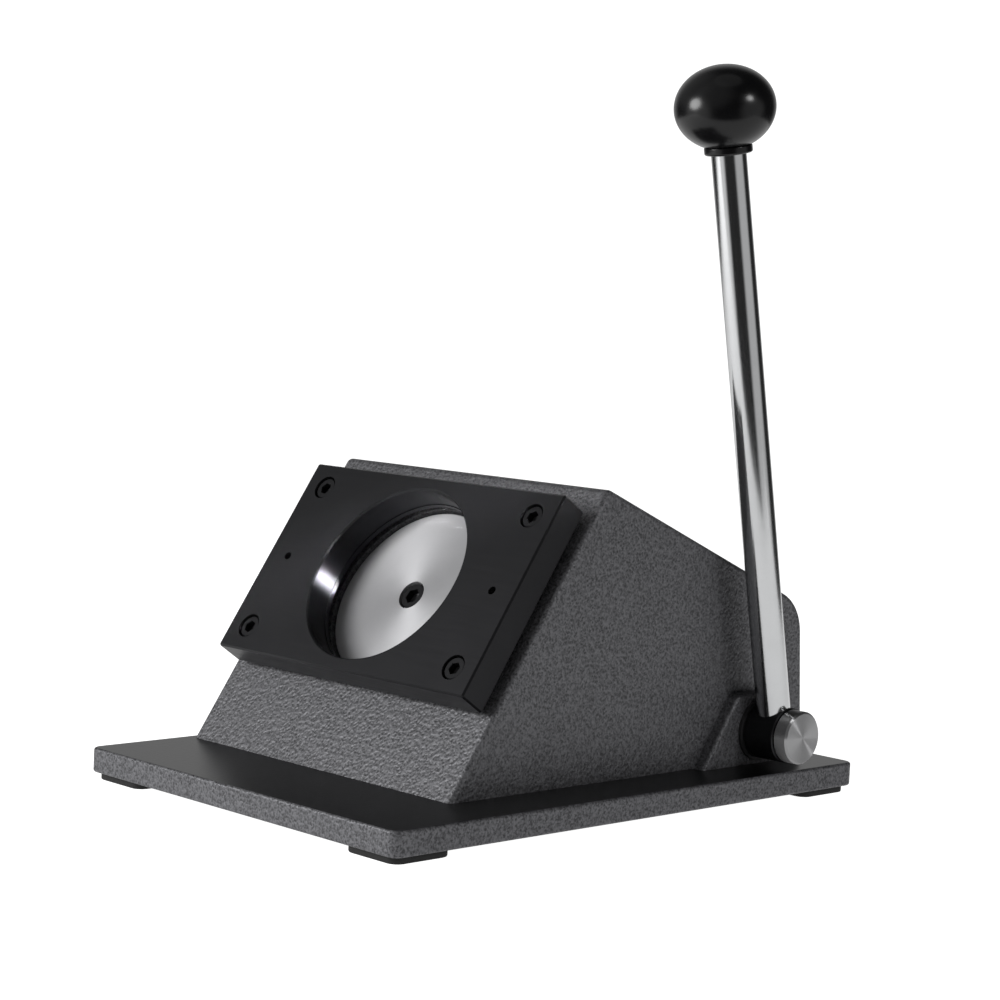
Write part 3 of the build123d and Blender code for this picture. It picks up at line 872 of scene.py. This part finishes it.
@dataclass
class BaseAndHousing:
    """Base plate, feet, and the folded housing with its boss."""

    foot_edge_r: float = 0.5
    foot_corner_r: float = 4.0
    foot_side: float = 24.0

    def build(self, shop: Shop) -> None:
        """Dresses the plate and housing and makes the feet.

        Args:
            shop: the shared places and finishes.
        """
        shop.dress_nodes(ENAMEL, "housing_shell", "bearing_boss")
        shop.dress_nodes(BASE_ENAMEL, "base_plate")
        shop.dress_nodes(MILD_STEEL, "mounting_blocks")
        shop.dress_nodes(BLACK_SCREW, "base_screws")
        feet = self.feet()
        shop.settle(feet, RUBBER, "frame", "foot_rubber", "rubber_feet")

    def feet(self) -> bpy.types.Object:
        """Makes the four rubber pads with rounded rims."""
        low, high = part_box("rubber_feet")
        mesh = bmesh.new()
        half = self.foot_side / 2 * MM
        for x in (low.x + half, high.x - half):
            for y in (low.y + half, high.y - half):
                self.foot(mesh, Vector((x, y, low.z)), high.z - low.z)
        return to_object(mesh, "foot_pads", Matrix.Identity(4))

    def foot(self, mesh: bmesh.types.BMesh, foot_mid: Vector, height: float) -> None:
        """Adds one pad.

        Args:
            mesh: the mesh that it goes in.
            foot_mid: middle of its underside.
            height: its height in metres.
        """
        edge = self.foot_edge_r * MM
        loops = []
        for inset, z in ((edge, 0.0), (0.3 * edge, 0.3 * edge), (0.0, edge), (0.0, height)):
            loops.append(self.foot_outline(mesh, foot_mid + Vector((0, 0, z)), inset))
        for below, above in zip(loops, loops[1:]):
            bridge(mesh, below, above)
        mesh.faces.new(loops[0])
        mesh.faces.new(loops[-1])

    def foot_outline(self, mesh: bmesh.types.BMesh, centre: Vector, inset: float) -> Loop:
        """Adds a rounded square.

        Args:
            mesh: the mesh that it goes in.
            centre: its middle.
            inset: how far it stands inside the pad's side, in metres.

        Returns:
            Its vertices in order.
        """
        radius = self.foot_corner_r * MM - inset
        reach = (self.foot_side / 2 - self.foot_corner_r) * MM
        loop = []
        for quarter, (sx, sy) in enumerate(((1, 1), (-1, 1), (-1, -1), (1, -1))):
            for i in range(7):
                angle = pi / 2 * (quarter + i / 6)
                spot = Vector((sx * reach + radius * cos(angle), sy * reach + radius * sin(angle), 0))
                loop.append(mesh.verts.new(centre + spot))
        return loop


@dataclass
class DieSet:
    """Die plate with its screws, pins and spacers, and the guide plate behind the slope."""

    screw: CapScrew = CapScrew(5.0, 8.5, 5.0, 4.0, 20.0, 2.6)
    bore_reach: float = 35.0

    def build(self, shop: Shop) -> None:
        """Dresses the plates and makes the four cap screws.

        Args:
            shop: the shared places and finishes.
        """
        # The bore is finished in a lathe after blackening: dark, with the lamps drawn round it.
        bored = TurnedFinish(
            "bored_black_steel",
            colour="#38383b",
            shade="#303033",
            roughness=0.3,
            metallic=1.0,
            anisotropy=1.0,
            origin=tuple(shop.places.punch.origin),
            along=tuple(shop.places.outward),
        )
        plate = self.plate(shop.places)
        shop.settle(plate, BLACK_OXIDE, "frame", "blackened_steel", "die_plate")
        plate.material_slots[1].material = shop.coat(bored)
        shop.dress_nodes(MILD_STEEL, "die_spacer_washers", "punch_guide_plate")
        shop.dress_nodes(GROUND_STEEL, "die_dowel_pins")
        screws = self.screws(shop.places)
        shop.settle(screws, BLACK_SCREW, "frame", "black_screws", "die_plate_screws")

    def plate(self, places: Places) -> bpy.types.Object:
        """Copies the plate, with its bore's faces set apart for their own finish.

        Args:
            places: the frame's places.

        Returns:
            The plate, with two material slots.
        """
        data = mesh_of("die_plate").copy()
        data.materials.clear()
        for _ in range(2):
            data.materials.append(None)
        across = Vector((1, 0, 0))
        for face in data.polygons:
            arm = face.center - places.punch.origin
            radius = Vector((arm.dot(across), arm.dot(places.up_slope))).length
            beside = abs(face.normal.dot(places.outward)) < 0.5
            face.material_index = int(beside and radius < self.bore_reach * MM)
        piece = bpy.data.objects.new("bored_die_plate", data)
        bpy.context.scene.collection.objects.link(piece)
        return piece

    def screws(self, places: Places) -> bpy.types.Object:
        """Makes the four screws where the frame's own screws are.

        Args:
            places: the frame's places.

        Returns:
            One piece of four screws.
        """
        mesh = bmesh.new()
        back, front = places.height("die_plate_screws")
        across = [(v.co - places.punch.origin) for v in mesh_of("die_plate_screws").vertices]
        reach_x = max(abs(p.x) for p in across) - self.screw.head_d / 2 * MM
        reach_s = max(abs(p.dot(places.up_slope)) for p in across) - self.screw.head_d / 2 * MM
        for sx in (-1, 1):
            for sy in (-1, 1):
                before = len(mesh.verts)
                self.screw.build(mesh)
                mesh.verts.ensure_lookup_table()
                fresh = mesh.verts[before:]
                turn = Matrix.Rotation(radians(17 * (2 + sx + 2 * sy)), 4, "Z")
                shift = Matrix.Translation((sx * reach_x, sy * reach_s, front))
                bmesh.ops.transform(mesh, matrix=shift @ turn, verts=fresh)
        return to_object(mesh, "die_cap_screws", places.punch.place())


@dataclass
class Ram:
    """Punch with its screw, and the post, crosshead, pad and bushes behind it."""

    screw: CapScrew = CapScrew(6.0, 10.0, 6.0, 5.0, 35.0, 2.6, pitch=1.0)

    def build(self, shop: Shop) -> None:
        """Dresses the ram and makes the punch's screw.

        Args:
            shop: the shared places and finishes.
        """
        places = shop.places
        # Hardened tool steel, faced in a lathe: light grey, with the lights drawn into a bow tie.
        punch_steel = TurnedFinish(
            "turned_punch_steel",
            colour="#b2b2b4",
            shade="#aaaaac",
            roughness=0.5,
            metallic=0.7,
            anisotropy=0.5,
            origin=tuple(places.punch.origin),
            along=tuple(places.outward),
        )
        shop.dress_nodes(punch_steel, "punch")
        shop.dress_nodes(MILD_STEEL, "ram_post", "crosshead")
        shop.dress_nodes(BLACK_SCREW, "ram_post_screw", "wear_pad_screws")
        shop.dress_nodes(GROUND_STEEL, "wear_pad")
        shop.dress_nodes(BRONZE, "crosshead_bushes")
        mesh = bmesh.new()
        self.screw.build(mesh)
        top = places.height("punch_screw")[1]
        turn = Matrix.Rotation(radians(20), 4, "Z")
        screw = to_object(mesh, "punch_cap_screw", places.punch.moved(0, 0, top).place() @ turn)
        shop.settle(screw, BLACK_SCREW, "ram", "black_screws", "punch_screw")


@dataclass
class Returns:
    """Guide rods with their collars and return springs."""

    wire_d: float = 1.6
    coil_r: float = 6.3
    turns: int = 7
    closed_turns: float = 1.0
    wire_steps: int = 12
    steps_per_turn: int = 40

    def build(self, shop: Shop) -> None:
        """Dresses rods and collars and winds the springs.

        Args:
            shop: the shared places and finishes.
        """
        shop.dress_nodes(GROUND_STEEL, "guide_rods")
        shop.dress_nodes(MILD_STEEL, "rod_stop_collars")
        springs = self.springs(shop.places)
        shop.settle(springs, SPRING_WIRE, "frame", "spring_steel", "return_springs")
        plate_back = shop.places.height("punch_guide_plate")[0]
        crosshead_front = shop.places.height("crosshead")[1]
        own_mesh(springs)

    def springs(self, places: Places) -> bpy.types.Object:
        """Winds the two springs, each with closed end turns.

        Args:
            places: the frame's places.

        Returns:
            One piece of two springs.
        """
        low, high = places.height("return_springs")
        spots = [v.co - places.punch.origin for v in mesh_of("return_springs").vertices]
        outer = (self.coil_r + self.wire_d / 2) * MM
        reach_x = max(p.x for p in spots) - outer
        s = max(p.dot(places.up_slope) for p in spots) - outer
        mesh = bmesh.new()
        for x in (-reach_x, reach_x):
            self.coil(mesh, Vector((x, s, 0)), low, high)
        return to_object(mesh, "wound_springs", places.punch.place(), 60)

    def coil(self, mesh: bmesh.types.BMesh, foot: Vector, low: float, high: float) -> None:
        """Adds one spring.

        Args:
            mesh: the mesh that it goes in.
            foot: a point on its axis.
            low: its lower end along local Z, in metres.
            high: its upper end.
        """
        radius, wire = self.coil_r * MM, self.wire_d / 2 * MM
        count = self.turns * self.steps_per_turn
        rise = high - low - 2 * wire
        closed = self.closed_turns / self.turns
        loops = []
        for i in range(count + 1):
            share = i / count
            open_share = min(1.0, max(0.0, (share - closed / 2) / (1 - closed)))
            eased = open_share * open_share * (3 - 2 * open_share)
            climb = 0.5 * open_share + 0.5 * eased
            angle = 2 * pi * self.turns * share
            out = Vector((cos(angle), sin(angle), 0))
            centre = foot + out * radius + Vector((0, 0, low + wire + rise * climb))
            loop = []
            for k in range(self.wire_steps):
                turn = 2 * pi * k / self.wire_steps
                loop.append(
                    mesh.verts.new(centre + out * wire * cos(turn) + Vector((0, 0, wire * sin(turn))))
                )
            loops.append(loop)
        for before, after in zip(loops, loops[1:]):
            bridge(mesh, before, after)
        mesh.faces.new(loops[0])
        mesh.faces.new(loops[-1])


@dataclass
class ShaftAndCam:
    """Pivot shaft with its turned head, cam, key, collar and bearings."""

    def build(self, shop: Shop) -> None:
        """Dresses the shaft and all that sits on it.

        Args:
            shop: the shared places and finishes.
        """
        # Bright mild steel turned in a lathe; the head's face shows a bright wedge.
        shaft_steel = TurnedFinish(
            "turned_shaft_steel",
            colour="#a0a0a1",
            shade="#969697",
            roughness=0.36,
            metallic=1.0,
            anisotropy=1.0,
            origin=tuple(shop.places.shaft.origin),
            along=(1.0, 0.0, 0.0),
        )
        shop.dress_nodes(shaft_steel, "pivot_shaft")
        shop.dress_nodes(GROUND_STEEL, "lift_cam")
        shop.dress_nodes(MILD_STEEL, "cam_key", "shaft_set_collar", "left_bearing_block")
        shop.dress_nodes(BLACK_SCREW, "grub_screws")
        shop.dress_nodes(BRONZE, "right_bearing_bush", "left_bearing_bush")
        # The washer's black is partly painted shade: it stands where the hub's shadow falls on the boss.
        shop.dress_nodes(NYLON_AND_PAINTED_SHADE, "thrust_washer")


@dataclass
class Lever:
    """Hub, plated rod and ball knob."""

    rod_d: float = 12.0
    rod_seat: float = 7.2
    rod_top: float = 205.1
    rod_break: float = 0.35
    pin_d: float = 6.0
    pin_past: float = 4.0
    thread_d: float = 8.0
    thread_len: float = 16.0
    thread_pitch: float = 1.25
    knob_at: float = 220.6
    knob_w: float = 34.4
    knob_h: float = 28.8
    collar_d: float = 16.4
    collar_top: float = 12.9
    collar_bottom: float = 15.5
    insert_d: float = 12.04
    insert_len: float = 18.0

    def build(self, shop: Shop) -> None:
        """Makes the rod and the knob and dresses the hub.

        Args:
            shop: the shared places and finishes.
        """
        shop.dress_nodes(BLACK_SCREW, "lever_hub")
        shop.dress_nodes(BRASS, "knob_insert")
        line = shop.places.lever
        shop.settle(self.rod(line), CHROME, "lever", "chrome_plate", "lever_rod")
        shop.settle(self.knob(line), PHENOLIC, "lever", "knob_plastic", "ball_knob")

    def rod(self, line: Spindle) -> bpy.types.Object:
        """Makes the rod with its pin, broken edges and thread.

        Args:
            line: the lever's line.

        Returns:
            The rod.
        """
        pin, bar, edge = self.pin_d / 2, self.rod_d / 2, self.rod_break
        crest, root = self.thread_d / 2, self.thread_d / 2 - 0.61 * self.thread_pitch
        profile = [
            (0.0, -self.pin_past),
            (pin - edge, -self.pin_past),
            (pin, edge - self.pin_past),
            (pin, self.rod_seat),
            (bar - edge, self.rod_seat),
            (bar, self.rod_seat + edge),
            (bar, self.rod_top),
            (root, self.rod_top),
        ]
        turns = int(self.thread_len / self.thread_pitch)
        for i in range(turns):
            start = self.rod_top + i * self.thread_pitch
            profile.append((crest, start + 0.5 * self.thread_pitch))
            profile.append((root, start + self.thread_pitch))
        profile.append((0.0, self.rod_top + turns * self.thread_pitch))
        mesh = bmesh.new()
        turned(mesh, profile, 96)
        return to_object(mesh, "plated_rod", line.place())

    def knob(self, line: Spindle) -> bpy.types.Object:
        """Makes the flattened ball with its short neck and its bore.

        Args:
            line: the lever's line.

        Returns:
            The knob.
        """
        a, b = self.knob_w / 2, self.knob_h / 2
        neck, bore = self.collar_d / 2, self.insert_d / 2
        bore_top = self.insert_len - self.collar_bottom
        meet = self.collar_top
        low_angle = -atan2(meet / b, sqrt(1 - (meet / b) ** 2))
        steps = 48
        ball = [
            (a * cos(t), b * sin(t))
            for t in (pi / 2 + (low_angle - pi / 2) * i / steps for i in range(1, steps + 1))
        ]
        foot = rounded(
            [ball[-1], (neck, -meet), (neck, -self.collar_bottom), (bore, -self.collar_bottom)],
            [0.3, 0.8],
        )
        outline = [(0.0, b), *ball, *foot[1:], (bore, bore_top), (0.0, bore_top)]
        outline = [(r, z + self.knob_at) for r, z in outline]
        mesh = bmesh.new()
        turned(mesh, outline, 128)
        return to_object(mesh, "phenolic_knob", line.place())


# ---- studio ---------------------------------------------------------------------------


@dataclass(frozen=True)
class SoftLight:
    """A soft lamp that faces the tool: where it stands, its size and its brightness."""

    name: str
    bearing_deg: float
    elevation_deg: float
    distance: float
    width: float
    height: float
    watts: float
    aim_mm: tuple[float, float, float] = (0.0, 0.0, 0.0)
    spread_deg: float = 180.0

    def place(self, target: Vector) -> bpy.types.Object:
        """Sets the lamp up.

        Args:
            target: the tool's middle, which it faces unless it is aimed beside it.

        Returns:
            The lamp.
        """
        lamp = bpy.data.lights.new(self.name, "AREA")
        lamp.shape = "ELLIPSE"
        lamp.size = self.width
        lamp.size_y = self.height
        lamp.energy = self.watts
        lamp.spread = radians(self.spread_deg)
        stand = bpy.data.objects.new(self.name, lamp)
        bpy.context.scene.collection.objects.link(stand)
        away = toward(self.bearing_deg, self.elevation_deg)
        stand.location = target + Vector(self.aim_mm) * MM + away * self.distance
        stand.rotation_euler = away.to_track_quat("Z", "Y").to_euler()
        stand.visible_camera = False
        return stand


def toward(bearing_deg: float, elevation_deg: float) -> Vector:
    """Unit direction from the tool: bearing 0 is its front, 90 its lever side."""
    b, e = radians(bearing_deg), radians(elevation_deg)
    return Vector((sin(b) * cos(e), -cos(b) * cos(e), sin(e)))


@dataclass(frozen=True)
class Glow:
    """A soft patch of the studio's walls."""

    bearing_deg: float
    elevation_deg: float
    inner_deg: float
    outer_deg: float
    strength: float


@dataclass
class Studio:
    """White table, soft lamps and the camera."""

    table_reach: float = 0.30
    table_side: float = 1.6
    table_seen: float = 1.0
    table_glow: float = 0.65
    room: float = 0.03
    backdrop: float = 1.15
    lens_mm: float = 90.22
    sensor_mm: float = 36.0
    eye: tuple[float, float, float] = (0.622121, -0.611131, 0.172918)
    azimuth_deg: float = 45.553
    elevation_deg: float = 4.678
    roll_deg: float = 2.826
    lights: tuple[SoftLight, ...] = (
        SoftLight("key_left", -28, 15, 1.1, 0.55, 0.55, 10),
        SoftLight("fill_right", 100, 29, 1.1, 0.24, 0.24, 2.4),
        SoftLight("bore_snoot", 98.5, 29.5, 1.1, 0.03, 0.03, 0.04, (-46, -37, -52), 2.0),
        SoftLight("overhead", 60, 82, 1.3, 0.9, 0.9, 0.5),
    )
    glows: tuple[Glow, ...] = (
        Glow(-25, -16, 16, 40, 0.9),
        Glow(108, -6, 16, 38, 0.6),
        Glow(-135, 8, 18, 50, 0.5),
        Glow(-60, 38, 15, 45, 0.25),
        Glow(10, 34, 15, 50, 0.25),
    )

    def build(self) -> None:
        """Sets up camera, table, lamps and the room."""
        view = bpy.context.scene.view_settings
        view.view_transform = "Standard"
        self.camera()
        self.table()
        self.walls()
        low, high = cad_box
        centre = Vector([(a + b) / 2 for a, b in zip(low, high)])
        for light in self.lights:
            light.place(centre)
            log.info("lamp %s", light.name)

    def camera(self) -> None:
        """Stands the camera in front of the tool's lever side."""
        data = bpy.data.cameras.new("camera")
        data.lens = self.lens_mm
        data.sensor_width = self.sensor_mm
        data.clip_start = 0.01
        stand = bpy.data.objects.new("camera", data)
        bpy.context.scene.collection.objects.link(stand)
        az, el, roll = (radians(a) for a in (self.azimuth_deg, self.elevation_deg, self.roll_deg))
        ahead = Vector((-sin(az) * cos(el), cos(az) * cos(el), -sin(el)))
        right = Vector((cos(az), sin(az), 0))
        up = right.cross(ahead)
        side = right * cos(roll) + up * sin(roll)
        top = up * cos(roll) - right * sin(roll)
        rows = [(side[i], top[i], -ahead[i], self.eye[i]) for i in range(3)]
        stand.matrix_world = Matrix((*rows, (0, 0, 0, 1)))
        bpy.context.scene.camera = stand

    def table(self) -> None:
        """Lays the white opal table, lit from below, with its front edge just below the view."""
        mesh = bmesh.new()
        az = radians(self.azimuth_deg)
        front = Vector((sin(az), -cos(az), 0))
        side = Vector((cos(az), sin(az), 0))
        for x, y in ((-1, 0), (1, 0), (1, 1), (-1, 1)):
            depth = self.table_reach - y * self.table_side
            mesh.verts.new(side * (x * self.table_side / 2) + front * depth)
        mesh.verts.ensure_lookup_table()
        mesh.faces.new(mesh.verts)
        floor = to_object(mesh, "white_table", Matrix.Identity(4))
        material = bpy.data.materials.new("opal_table")
        material.use_nodes = True
        tree = material.node_tree
        shader = tree.nodes["Principled BSDF"]
        shader.inputs["Base Color"].default_value = linear("#d8d8d8")
        shader.inputs["Roughness"].default_value = 0.9
        shader.inputs["Specular IOR Level"].default_value = 0.1
        shader.inputs["Emission Color"].default_value = (1, 1, 1, 1)
        seen = add_node(tree, "LightPath").outputs["Is Camera Ray"]
        strength = add_node(
            tree,
            "Mix",
            {"data_type": "FLOAT"},
            {0: seen, 2: self.table_glow, 3: self.table_seen},
        )
        tree.links.new(strength.outputs[0], shader.inputs["Emission Strength"])
        floor.data.materials.append(material)

    def walls(self) -> None:
        """Makes the room: white behind the tool, dim with soft glowing patches in its shine."""
        world = bpy.data.worlds.new("studio")
        bpy.context.scene.world = world
        world.use_nodes = True
        tree = world.node_tree
        room = tree.nodes["Background"]
        heading = add_node(tree, "TexCoord").outputs["Generated"]
        total: float | bpy.types.NodeSocket = self.room
        for glow in self.glows:
            aim = toward(glow.bearing_deg, glow.elevation_deg)
            facing = add_node(tree, "VectorMath", {"operation": "DOT_PRODUCT"}, {0: heading, 1: aim})
            patch = add_node(
                tree,
                "MapRange",
                {"interpolation_type": "SMOOTHSTEP"},
                {
                    "Value": facing.outputs["Value"],
                    "From Min": cos(radians(glow.outer_deg)),
                    "From Max": cos(radians(glow.inner_deg)),
                    "To Max": glow.strength,
                },
            )
            total = add_node(
                tree, "Math", {"operation": "ADD"}, {0: total, 1: patch.outputs["Result"]}
            ).outputs[0]
        seen = add_node(tree, "LightPath").outputs["Is Camera Ray"]
        strength = add_node(tree, "Mix", {"data_type": "FLOAT"}, {0: seen, 2: total, 3: self.backdrop})
        tree.links.new(strength.outputs[0], room.inputs["Strength"])
        room.inputs["Color"].default_value = (1, 1, 1, 1)


def main() -> None:
    """Builds the studio and the tool's sub-assemblies in order."""
    logging.basicConfig(level=logging.INFO, format="%(name)s %(message)s")
    Studio().build()
    shop = Shop(Places.read())
    for assembly in (BaseAndHousing(), DieSet(), Ram(), Returns(), ShaftAndCam(), Lever()):
        log.info("building %s", type(assembly).__name__)
        assembly.build(shop)


if __name__ == "__main__":
    main()
